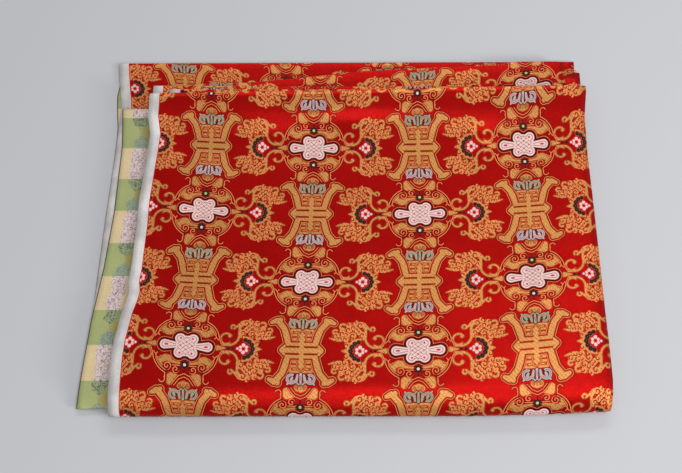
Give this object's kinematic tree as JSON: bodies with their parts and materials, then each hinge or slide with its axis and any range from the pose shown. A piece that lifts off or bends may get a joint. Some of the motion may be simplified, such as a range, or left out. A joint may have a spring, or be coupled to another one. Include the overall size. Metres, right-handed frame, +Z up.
{
  "type": "folded brocade panel",
  "caption": "Length of figured silk-type brocade, folded back and forth into a flat stack, with woven selvages and raw cut ends.",
  "frame": {"origin": "centre of the stack's footprint, on the surface it rests on", "axes": "+X to the right along the folds, +Y away from the viewer across the folds, +Z up out of the stack"},
  "size_m": [0.4236, 0.3183, 0.0183],
  "materials": {
    "brocade": "red satin ground with a gold figure"
  },
  "bodies": {
    "root": {"cloth": "brocade"}
  },
  "joints": []
}
